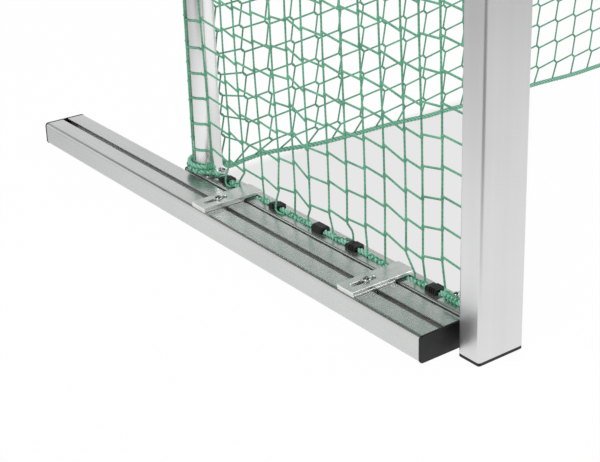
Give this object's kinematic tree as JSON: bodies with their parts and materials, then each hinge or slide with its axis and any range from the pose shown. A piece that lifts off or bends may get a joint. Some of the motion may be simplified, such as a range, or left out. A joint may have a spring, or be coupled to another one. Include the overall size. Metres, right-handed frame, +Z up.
{
  "type": "football goal",
  "caption": "Small aluminium football goal with net hoops, ground rails, clamped ballast boxes and a knotless net.",
  "frame": {"origin": "on the ground, at the middle of the goal's footprint", "axes": "+Z up, the mouth faces -Y, +X to the right as seen from the front"},
  "size_m": [2.0684, 1.122, 1.28],
  "materials": {
    "frame_aluminium": "satin extruded",
    "tube_aluminium": "drawn, smooth",
    "plate_aluminium": "cut plate, satin",
    "stainless": "bright",
    "dark_steel": "mill scale",
    "black_plastic": "moulded",
    "green_net": "knotless polypropylene cord",
    "green_rope": "laid polypropylene rope"
  },
  "bodies": {
    "frame": {"crossbar": "frame_aluminium", "post_left": "frame_aluminium", "foot_cap_left": "black_plastic", "ground_rail_left": "frame_aluminium", "rail_end_cap_left": "black_plastic", "corner_bracket_left": "plate_aluminium", "bracket_bolt_left": "stainless", "net_hoop_left": "tube_aluminium", "hoop_foot_left": "plate_aluminium", "side_net_left": "green_net", "side_rope_left": "green_rope", "post_right": "frame_aluminium", "foot_cap_right": "black_plastic", "ground_rail_right": "frame_aluminium", "rail_end_cap_right": "black_plastic", "corner_bracket_right": "plate_aluminium", "bracket_bolt_right": "stainless", "net_hoop_right": "tube_aluminium", "hoop_foot_right": "plate_aluminium", "side_net_right": "green_net", "side_rope_right": "green_rope", "back_net": "green_net", "bend_net": "green_net", "top_net": "green_net", "back_rope": "green_rope"},
    "ballast_left": {"ballast_box_left": "frame_aluminium", "ballast_front_cap_left": "black_plastic", "ballast_rear_cap_left": "black_plastic", "ballast_weight_left": "dark_steel"},
    "front_clamp_left": {"front_clamp_nut_left": "stainless", "front_clamp_spacer_left": "plate_aluminium"},
    "front_plate_left": {"front_clamp_plate_left": "plate_aluminium"},
    "front_bolt_left": {"front_clamp_bolt_left": "stainless"},
    "rear_clamp_left": {"rear_clamp_nut_left": "stainless", "rear_clamp_spacer_left": "plate_aluminium"},
    "rear_plate_left": {"rear_clamp_plate_left": "plate_aluminium"},
    "rear_bolt_left": {"rear_clamp_bolt_left": "stainless"},
    "net_clip_1_left": {"net_clip_1_left": "black_plastic"},
    "net_clip_2_left": {"net_clip_2_left": "black_plastic"},
    "net_clip_3_left": {"net_clip_3_left": "black_plastic"},
    "net_clip_4_left": {"net_clip_4_left": "black_plastic"},
    "net_clip_5_left": {"net_clip_5_left": "black_plastic"},
    "ballast_right": {"ballast_box_right": "frame_aluminium", "ballast_front_cap_right": "black_plastic", "ballast_rear_cap_right": "black_plastic", "ballast_weight_right": "dark_steel"},
    "front_clamp_right": {"front_clamp_nut_right": "stainless", "front_clamp_spacer_right": "plate_aluminium"},
    "front_plate_right": {"front_clamp_plate_right": "plate_aluminium"},
    "front_bolt_right": {"front_clamp_bolt_right": "stainless"},
    "rear_clamp_right": {"rear_clamp_nut_right": "stainless", "rear_clamp_spacer_right": "plate_aluminium"},
    "rear_plate_right": {"rear_clamp_plate_right": "plate_aluminium"},
    "rear_bolt_right": {"rear_clamp_bolt_right": "stainless"},
    "net_clip_1_right": {"net_clip_1_right": "black_plastic"},
    "net_clip_2_right": {"net_clip_2_right": "black_plastic"},
    "net_clip_3_right": {"net_clip_3_right": "black_plastic"},
    "net_clip_4_right": {"net_clip_4_right": "black_plastic"},
    "net_clip_5_right": {"net_clip_5_right": "black_plastic"}
  },
  "joints": [
    {"name": "ballast_slide_left", "type": "slide", "parent": "frame", "child": "ballast_left", "axis": [0, 1, 0], "range_m": [-0.013, 0.12]},
    {"name": "front_clamp_slide_left", "type": "slide", "parent": "frame", "child": "front_clamp_left", "axis": [0, 1, 0], "range_m": [-0.01, 0.01]},
    {"name": "front_plate_slide_left", "type": "slide", "parent": "front_clamp_left", "child": "front_plate_left", "axis": [1, 0, 0], "range_m": [-0.012, 0.02]},
    {"name": "front_bolt_turn_left", "type": "hinge", "parent": "front_clamp_left", "child": "front_bolt_left", "pos_m": [-0.9938, -0.3461, 0.0491], "axis": [0, 0, 1], "continuous": true},
    {"name": "rear_clamp_slide_left", "type": "slide", "parent": "frame", "child": "rear_clamp_left", "axis": [0, 1, 0], "range_m": [-0.01, 0.01]},
    {"name": "rear_plate_slide_left", "type": "slide", "parent": "rear_clamp_left", "child": "rear_plate_left", "axis": [1, 0, 0], "range_m": [-0.012, 0.02]},
    {"name": "rear_bolt_turn_left", "type": "hinge", "parent": "rear_clamp_left", "child": "rear_bolt_left", "pos_m": [-0.9938, 0.0318, 0.0491], "axis": [0, 0, 1], "continuous": true},
    {"name": "clip_1_slide_left", "type": "slide", "parent": "frame", "child": "net_clip_1_left", "axis": [0, 1, 0], "range_m": [-0.005, 0.005]},
    {"name": "clip_2_slide_left", "type": "slide", "parent": "frame", "child": "net_clip_2_left", "axis": [0, 1, 0], "range_m": [-0.015, 0.015]},
    {"name": "clip_3_slide_left", "type": "slide", "parent": "frame", "child": "net_clip_3_left", "axis": [0, 1, 0], "range_m": [-0.015, 0.015]},
    {"name": "clip_4_slide_left", "type": "slide", "parent": "frame", "child": "net_clip_4_left", "axis": [0, 1, 0], "range_m": [-0.012, 0.012]},
    {"name": "clip_5_slide_left", "type": "slide", "parent": "frame", "child": "net_clip_5_left", "axis": [0, 1, 0], "range_m": [-0.01, 0.002]},
    {"name": "ballast_slide_right", "type": "slide", "parent": "frame", "child": "ballast_right", "axis": [0, 1, 0], "range_m": [-0.013, 0.12]},
    {"name": "front_clamp_slide_right", "type": "slide", "parent": "frame", "child": "front_clamp_right", "axis": [0, 1, 0], "range_m": [-0.01, 0.01]},
    {"name": "front_plate_slide_right", "type": "slide", "parent": "front_clamp_right", "child": "front_plate_right", "axis": [-1, 0, 0], "range_m": [-0.012, 0.02]},
    {"name": "front_bolt_turn_right", "type": "hinge", "parent": "front_clamp_right", "child": "front_bolt_right", "pos_m": [0.9938, -0.3461, 0.0491], "axis": [0, 0, 1], "continuous": true},
    {"name": "rear_clamp_slide_right", "type": "slide", "parent": "frame", "child": "rear_clamp_right", "axis": [0, 1, 0], "range_m": [-0.01, 0.01]},
    {"name": "rear_plate_slide_right", "type": "slide", "parent": "rear_clamp_right", "child": "rear_plate_right", "axis": [-1, 0, 0], "range_m": [-0.012, 0.02]},
    {"name": "rear_bolt_turn_right", "type": "hinge", "parent": "rear_clamp_right", "child": "rear_bolt_right", "pos_m": [0.9938, 0.0318, 0.0491], "axis": [0, 0, 1], "continuous": true},
    {"name": "clip_1_slide_right", "type": "slide", "parent": "frame", "child": "net_clip_1_right", "axis": [0, 1, 0], "range_m": [-0.005, 0.005]},
    {"name": "clip_2_slide_right", "type": "slide", "parent": "frame", "child": "net_clip_2_right", "axis": [0, 1, 0], "range_m": [-0.015, 0.015]},
    {"name": "clip_3_slide_right", "type": "slide", "parent": "frame", "child": "net_clip_3_right", "axis": [0, 1, 0], "range_m": [-0.015, 0.015]},
    {"name": "clip_4_slide_right", "type": "slide", "parent": "frame", "child": "net_clip_4_right", "axis": [0, 1, 0], "range_m": [-0.012, 0.012]},
    {"name": "clip_5_slide_right", "type": "slide", "parent": "frame", "child": "net_clip_5_right", "axis": [0, 1, 0], "range_m": [-0.01, 0.002]}
  ]
}
